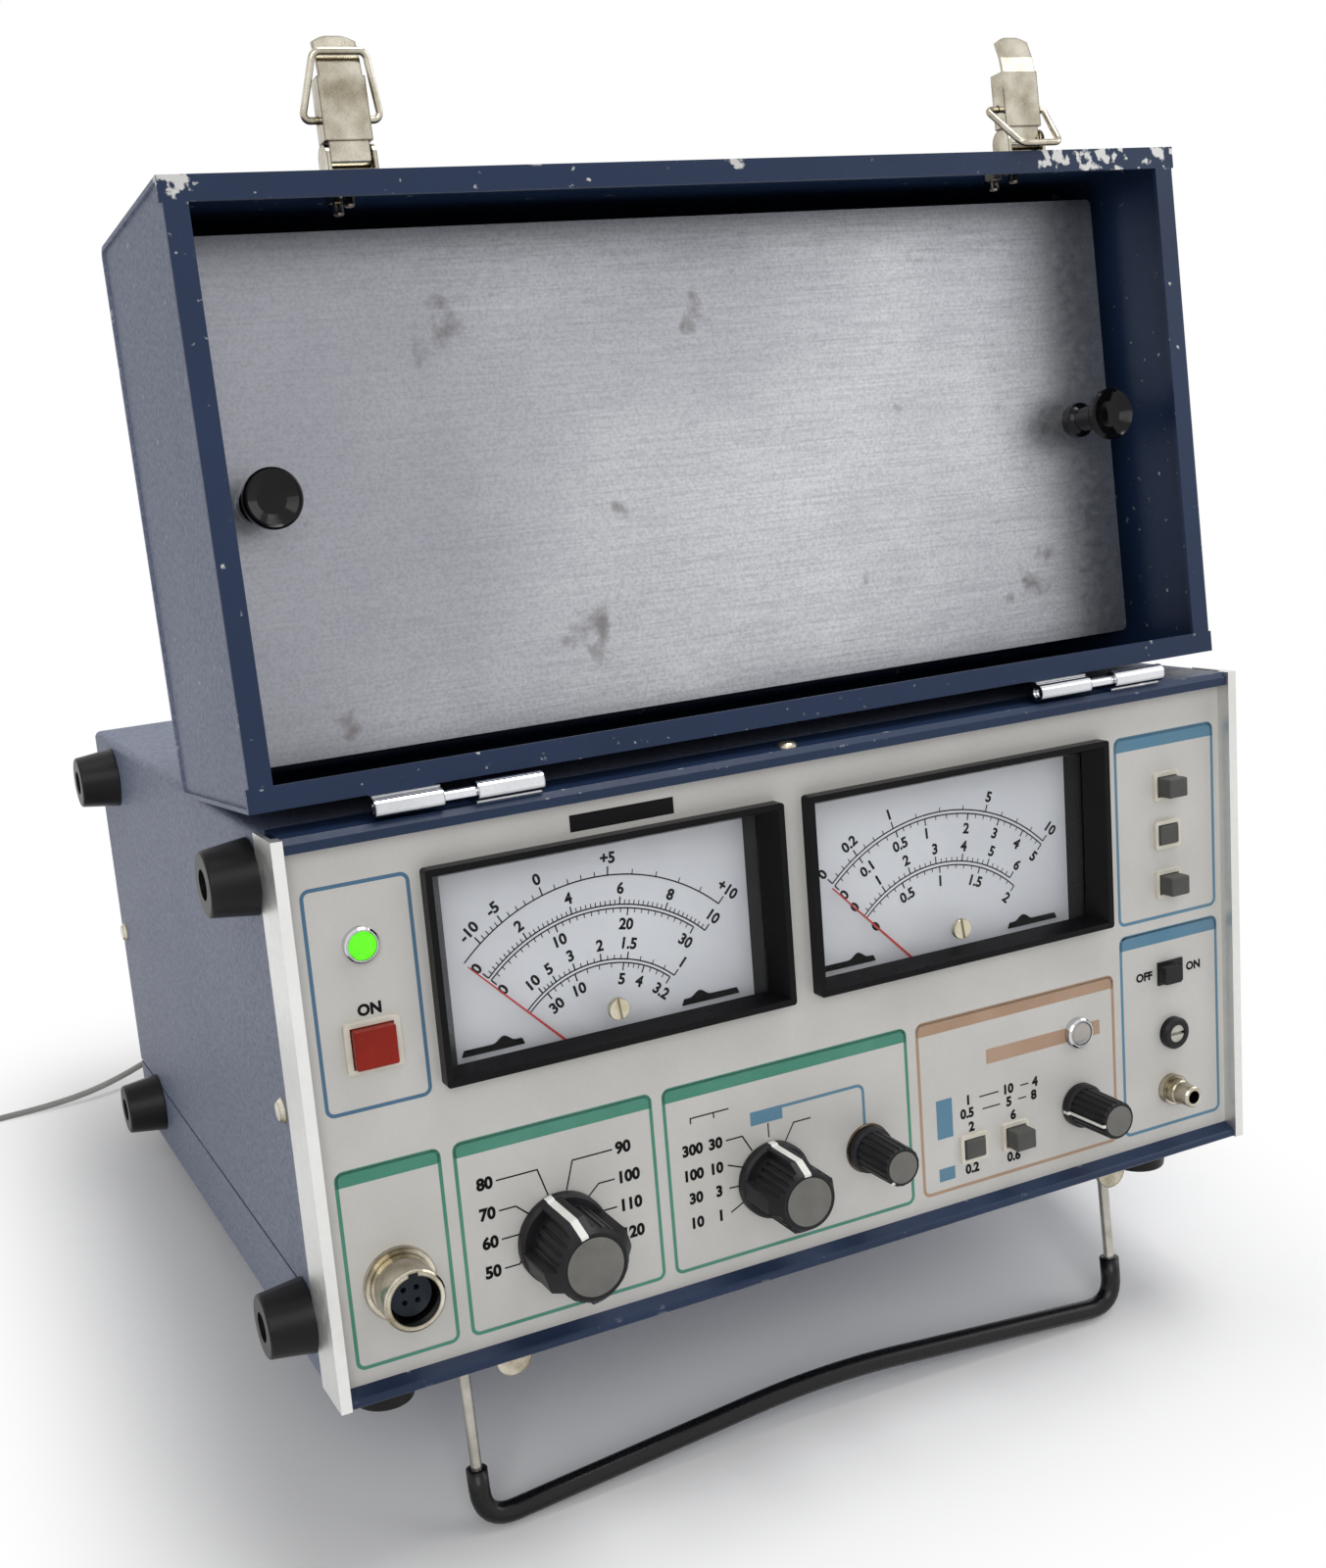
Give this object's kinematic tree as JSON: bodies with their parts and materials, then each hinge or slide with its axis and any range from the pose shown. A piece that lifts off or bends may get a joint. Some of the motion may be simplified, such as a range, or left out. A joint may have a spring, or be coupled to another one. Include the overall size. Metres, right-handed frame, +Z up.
{
  "type": "portable two-meter audio test set",
  "caption": "Portable bench test set in a sheet-metal case with a hinged lid, twin panel meters, knobs, push switches, wire stand and mains cord.",
  "frame": {"origin": "on the floor, under the middle of the part's box without its cord", "axes": "+X to the right of the panel, +Y to the back, +Z up"},
  "size_m": [0.4456, 0.2952, 0.3806],
  "materials": {
    "panel_paint": "fine satin paint with printed boxes",
    "bare_aluminium": "extruded, satin",
    "navy_paint": "satin paint",
    "textured_paint": "leather-grain paint",
    "black_sheet": "satin black",
    "board": "fibreglass board",
    "core_steel": "laminated steel",
    "rubber": "matt",
    "plated_steel": "nickel plate",
    "black_sleeve": "smooth sleeve",
    "strap": "grained vinyl",
    "meter_black": "moulded",
    "window": "clear",
    "scale_white": "printed dial",
    "needle": "matt red",
    "ivory": "moulded",
    "lens": "coloured lens",
    "red_cap": "moulded",
    "grey_cap": "moulded",
    "black_moulding": "moulded",
    "brushed_plate": "brushed",
    "cord_grey": "smooth sheath"
  },
  "bodies": {
    "case": {"front_panel": "panel_paint", "panel_trims": "bare_aluminium", "front_rails": "navy_paint", "top_cover": "textured_paint", "bottom_cover": "textured_paint", "chassis": "black_sheet", "main_board": "board", "power_transformer": "core_steel", "rubber_feet": "rubber", "case_screws": "plated_steel", "latch_keepers": "plated_steel", "stand_brackets": "plated_steel", "handle_strap": "strap", "handle_caps": "plated_steel", "case_hinge_leaves": "plated_steel", "meter_frames": "meter_black", "meter_windows": "window", "meter_movements": "meter_black", "meter_scales": "scale_white", "lamp_bezels": "plated_steel", "lamp_lenses": "lens", "button_bezels": "ivory", "mic_socket_shell": "plated_steel", "mic_socket_insert": "black_moulding", "output_jack": "plated_steel", "panel_controls": "black_moulding", "cord_gland": "black_moulding", "mains_cord": "cord_grey", "cord_coil": "cord_grey", "mains_plug": "black_moulding"},
    "lid": {"lid_shell": "navy_paint", "lid_ends": "navy_paint", "lid_plate": "brushed_plate", "lid_fasteners": "plated_steel", "lid_hinge_leaves": "plated_steel", "latch_bases": "plated_steel"},
    "stand": {"stand_bail": "plated_steel", "stand_sleeve": "black_sleeve"},
    "thumb_left": {"thumb_knob_left": "black_moulding"},
    "thumb_right": {"thumb_knob_right": "black_moulding"},
    "lever_left": {"latch_lever_left": "plated_steel"},
    "lever_right": {"latch_lever_right": "plated_steel"},
    "bail_left": {"latch_bail_left": "plated_steel"},
    "bail_right": {"latch_bail_right": "plated_steel"},
    "level_dial": {"level_knob": "black_moulding"},
    "range_dial": {"range_knob": "black_moulding"},
    "set_dial": {"set_knob": "black_moulding"},
    "output_dial": {"output_knob": "black_moulding"},
    "power_push": {"power_button": "red_cap"},
    "function_push_top": {"function_button_top": "grey_cap"},
    "function_push_middle": {"function_button_middle": "grey_cap"},
    "function_push_bottom": {"function_button_bottom": "grey_cap"},
    "output_push_left": {"output_button_left": "grey_cap"},
    "output_push_right": {"output_button_right": "grey_cap"},
    "needle_left": {"meter_pointer_left": "needle"},
    "needle_right": {"meter_pointer_right": "needle"},
    "adjuster_left": {"zero_adjuster_left": "ivory"},
    "adjuster_right": {"zero_adjuster_right": "ivory"},
    "slide_switch": {"slide_switch_knob": "black_moulding"},
    "trimmer": {"trimmer_shaft": "ivory"}
  },
  "joints": [
    {"name": "lid_hinge", "type": "hinge", "parent": "case", "child": "lid", "pos_m": [-0.0022, -0.09199, 0.20678], "axis": [1, 0, 0], "range_deg": [0, 184.7]},
    {"name": "stand_pivot", "type": "hinge", "parent": "case", "child": "stand", "pos_m": [-0.0022, -0.10805, 0.04998], "axis": [1, 0, 0], "range_deg": [0, 92]},
    {"name": "lever_pivot_left", "type": "hinge", "parent": "lid", "child": "lever_left", "pos_m": [-0.1055, -0.03664, 0.35293], "axis": [1, 0, 0], "range_deg": [-90, 0]},
    {"name": "bail_pivot_left", "type": "hinge", "parent": "lever_left", "child": "bail_left", "pos_m": [-0.1055, -0.03349, 0.36169], "axis": [1, 0, 0], "range_deg": [0, 124]},
    {"name": "thumb_turn_left", "type": "hinge", "parent": "lid", "child": "thumb_left", "pos_m": [-0.1347, -0.04727, 0.27421], "axis": [0, 0.9576, -0.288], "continuous": true},
    {"name": "lever_pivot_right", "type": "hinge", "parent": "lid", "child": "lever_right", "pos_m": [0.0961, -0.03664, 0.35293], "axis": [1, 0, 0], "range_deg": [-90, 0]},
    {"name": "bail_pivot_right", "type": "hinge", "parent": "lever_right", "child": "bail_right", "pos_m": [0.0961, -0.03349, 0.36169], "axis": [1, 0, 0], "range_deg": [-124, 0]},
    {"name": "thumb_turn_right", "type": "hinge", "parent": "lid", "child": "thumb_right", "pos_m": [0.1253, -0.04727, 0.27421], "axis": [0, 0.9576, -0.288], "continuous": true},
    {"name": "level_turn", "type": "hinge", "parent": "case", "child": "level_dial", "pos_m": [-0.0861, -0.12062, 0.08691], "axis": [0, 0.978, -0.2086], "range_deg": [-90, 120]},
    {"name": "range_turn", "type": "hinge", "parent": "case", "child": "range_dial", "pos_m": [-0.0212, -0.12068, 0.08662], "axis": [0, 0.978, -0.2086], "range_deg": [-120, 30]},
    {"name": "set_turn", "type": "hinge", "parent": "case", "child": "set_dial", "pos_m": [0.0109, -0.12054, 0.0873], "axis": [0, 0.978, -0.2086], "range_deg": [-10, 290]},
    {"name": "output_turn", "type": "hinge", "parent": "case", "child": "output_dial", "pos_m": [0.0872, -0.12162, 0.08222], "axis": [0, 0.978, -0.2086], "range_deg": [-54, 246]},
    {"name": "trimmer_turn", "type": "hinge", "parent": "case", "child": "trimmer", "pos_m": [0.1241, -0.11855, 0.0966], "axis": [0, 0.978, -0.2086], "range_deg": [-135, 135]},
    {"name": "needle_swing_left", "type": "hinge", "parent": "case", "child": "needle_left", "pos_m": [-0.0631, -0.10161, 0.1209], "axis": [0, 0.978, -0.2086], "range_deg": [0, 90], "stiffness_Nm_per_rad": 0.001, "springref_deg": -17.19},
    {"name": "zero_turn_left", "type": "hinge", "parent": "case", "child": "adjuster_left", "pos_m": [-0.0631, -0.10361, 0.14269], "axis": [0, 0.978, -0.2086], "range_deg": [-20, 20]},
    {"name": "needle_swing_right", "type": "hinge", "parent": "case", "child": "needle_right", "pos_m": [0.04775, -0.10161, 0.1209], "axis": [0, 0.978, -0.2086], "range_deg": [0, 90], "stiffness_Nm_per_rad": 0.001, "springref_deg": -17.19},
    {"name": "zero_turn_right", "type": "hinge", "parent": "case", "child": "adjuster_right", "pos_m": [0.04775, -0.10361, 0.14269], "axis": [0, 0.978, -0.2086], "range_deg": [-20, 20]},
    {"name": "power_travel", "type": "slide", "parent": "case", "child": "power_push", "axis": [0, 0.978, -0.2086], "range_m": [0, 0.0025], "stiffness_N_per_m": 120, "springref_m": -0.001},
    {"name": "function_travel_top", "type": "slide", "parent": "case", "child": "function_push_top", "axis": [0, 0.978, -0.2086], "range_m": [0, 0.004], "stiffness_N_per_m": 100, "springref_m": -0.001},
    {"name": "function_travel_middle", "type": "slide", "parent": "case", "child": "function_push_middle", "axis": [0, 0.978, -0.2086], "range_m": [-0.004, 0]},
    {"name": "function_travel_bottom", "type": "slide", "parent": "case", "child": "function_push_bottom", "axis": [0, 0.978, -0.2086], "range_m": [0, 0.004], "stiffness_N_per_m": 100, "springref_m": -0.001},
    {"name": "output_travel_left", "type": "slide", "parent": "case", "child": "output_push_left", "axis": [0, 0.978, -0.2086], "range_m": [-0.004, 0]},
    {"name": "output_travel_right", "type": "slide", "parent": "case", "child": "output_push_right", "axis": [0, 0.978, -0.2086], "range_m": [0, 0.004], "stiffness_N_per_m": 100, "springref_m": -0.001},
    {"name": "slide_throw", "type": "slide", "parent": "case", "child": "slide_switch", "axis": [1, 0, 0], "range_m": [0, 0.0034]}
  ]
}
